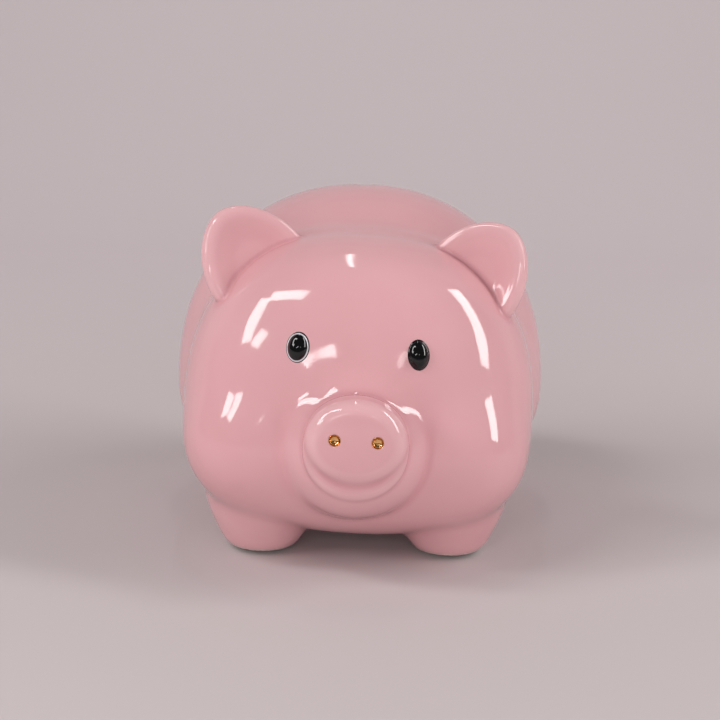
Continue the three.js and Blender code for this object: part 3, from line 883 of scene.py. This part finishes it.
def make_floor():
    """Pale floor that sweeps up behind the bank. It is seen only from its upper side."""
    bend, radius, top, half, steps = 0.55, 0.5, 3.0, 4.0, 24
    outline = [(-half, 0.0), (bend, 0.0)]
    for i in range(1, steps + 1):
        turn = i / steps * math.pi / 2
        outline.append((bend + radius * math.sin(turn), radius * (1 - math.cos(turn))))
    outline.append((bend + radius, top))
    corners = [(x, y, z) for y, z in outline for x in (-half, half)]
    faces = [(2 * i, 2 * i + 1, 2 * i + 3, 2 * i + 2) for i in range(len(outline) - 1)]
    mesh = bpy.data.meshes.new("floor")
    mesh.from_pydata(corners, [], faces)
    mesh.polygons.foreach_set("use_smooth", [True] * len(faces))
    obj = bpy.data.objects.new("floor", mesh)
    bpy.context.scene.collection.objects.link(obj)
    made, shader = new_material("pale_floor", Roughness=0.6)
    # Painted light: the floor's colour goes from darker near the bank to paler towards the back, making up
    # for light that falls off away from the lamps.
    depth = add(made, "SeparateXYZ", Vector=place_of(made)).outputs["Y"]
    shade = ranged(made, depth, 0.1, bend, 0, 1)
    connect(made, mixed(made, shade, FLOOR_NEAR, FLOOR_FAR), shader, "Base Color")
    aside = add(made, "VectorMath", {"operation": "MULTIPLY"})
    made.node_tree.links.new(place_of(made), aside.inputs[0])
    aside.inputs[1].default_value = GLOW["reach"]
    far = add(made, "VectorMath", {"operation": "LENGTH"})
    made.node_tree.links.new(aside.outputs["Vector"], far.inputs[0])
    shader.inputs["Emission Color"].default_value = SKY
    glow = ranged(made, far.outputs["Value"], GLOW["start"], GLOW["full"], 0, GLOW["strength"])
    connect(made, glow, shader, "Emission Strength")
    see_through = add(made, "BsdfTransparent")
    below = add(made, "NewGeometry").outputs["Backfacing"]
    choice = add(made, "MixShader", Fac=below)
    links = made.node_tree.links
    links.new(shader.outputs[0], choice.inputs[1])
    links.new(see_through.outputs[0], choice.inputs[2])
    links.new(choice.outputs[0], made.node_tree.nodes["Material Output"].inputs["Surface"])
    mesh.materials.append(made)


def make_sky():
    """Pale surroundings beyond the floor, which give no light and show in no reflection."""
    mesh = bpy.data.meshes.new("sky")
    ball = bmesh.new()
    bmesh.ops.create_uvsphere(ball, u_segments=48, v_segments=24, radius=SKY_RADIUS)
    ball.to_mesh(mesh)
    ball.free()
    obj = bpy.data.objects.new("sky", mesh)
    bpy.context.scene.collection.objects.link(obj)
    made, shader = new_material("pale_sky", Roughness=1.0, Base_Color=(0, 0, 0, 1))
    shader.inputs["Emission Color"].default_value = SKY
    shader.inputs["Emission Strength"].default_value = 1.0
    mesh.materials.append(made)
    for kind in ("diffuse", "glossy", "transmission", "shadow", "volume_scatter"):
        setattr(obj, "visible_" + kind, False)


def towards(azimuth, elevation):
    """Unit vector from the bank; azimuth 0 is straight in front of it and 90 its left-hand side."""
    a, e = math.radians(azimuth), math.radians(elevation)
    return Vector((math.sin(a) * math.cos(e), -math.cos(a) * math.cos(e), math.sin(e)))


LIT_POINT = Vector((0, -0.045, 0.085))


def softbox(name, start, end, width, radiance, distance=1.1, shows=True):
    """Rectangular softbox that faces the bank, from one direction to another (azimuth, elevation)."""
    first, last = towards(*start) * distance, towards(*end) * distance
    middle = (first + last) / 2
    length = (last - first).length
    light = bpy.data.lights.new(name, "AREA")
    light.shape = "RECTANGLE"
    light.size, light.size_y = width, length
    light.energy = radiance * math.pi * width * length
    light.color = LAMP
    obj = bpy.data.objects.new(name, light)
    obj.visible_glossy = shows
    obj.visible_camera = False
    outward = middle.normalized()
    along = (last - first - outward * (last - first).dot(outward)).normalized()
    axes = Matrix((along.cross(outward), along, outward)).transposed().to_4x4()
    obj.matrix_world = Matrix.Translation(LIT_POINT + middle) @ axes
    bpy.context.scene.collection.objects.link(obj)


def light_studio():
    softbox("left_low", (-56.5, 18), (-53.5, 28), 0.14, 12)
    softbox("left_upright", (-65, 19), (-79, 46), 0.17, 12)
    softbox("left_top", (-76, 49), (-42, 58), 0.15, 12)
    softbox("front_left", (-24, 16), (-7, 23.5), 0.05, 12)
    softbox("front_right", (12, 18.5), (19, 21), 0.06, 5)
    softbox("right_upright", (70, 9), (101, 51), 0.17, 12)
    softbox("overhead", (184, 64), (188, 84), 0.028, 13)
    softbox("front_fill", (0, -3), (0, 22), 1.7, 0.88, distance=1.5, shows=False)
    softbox("floor_fill", (0, -7), (0, 4), 0.9, 3.2, distance=0.55, shows=False)
    world = bpy.data.worlds.new("studio")
    world.use_nodes = True
    background = world.node_tree.nodes["Background"]
    background.inputs["Color"].default_value = DAYLIGHT
    background.inputs["Strength"].default_value = DAYLIGHT_STRENGTH
    bpy.context.scene.world = world


def make_camera():
    """Camera in front of the bank, a little above it, with a slight roll."""
    azimuth, elevation, roll = 0.5, 14.0, math.radians(1.3)
    distance, aim = 0.8, Vector((0, 0.011, 0.065))
    back = towards(azimuth, elevation)
    right = Vector((math.cos(math.radians(azimuth)), math.sin(math.radians(azimuth)), 0))
    up = back.cross(right)
    rolled_right = right * math.cos(roll) + up * math.sin(roll)
    rolled_up = up * math.cos(roll) - right * math.sin(roll)
    camera = bpy.data.cameras.new("camera")
    camera.lens = 96
    camera.sensor_width = 36
    obj = bpy.data.objects.new("camera", camera)
    turned = Matrix((rolled_right, rolled_up, back)).transposed().to_4x4()
    obj.matrix_world = Matrix.Translation(aim + back * distance) @ turned
    bpy.context.scene.collection.objects.link(obj)
    bpy.context.scene.camera = obj


build_bank()
make_floor()
make_sky()
light_studio()
make_camera()
bpy.context.scene.view_settings.view_transform = "Standard"
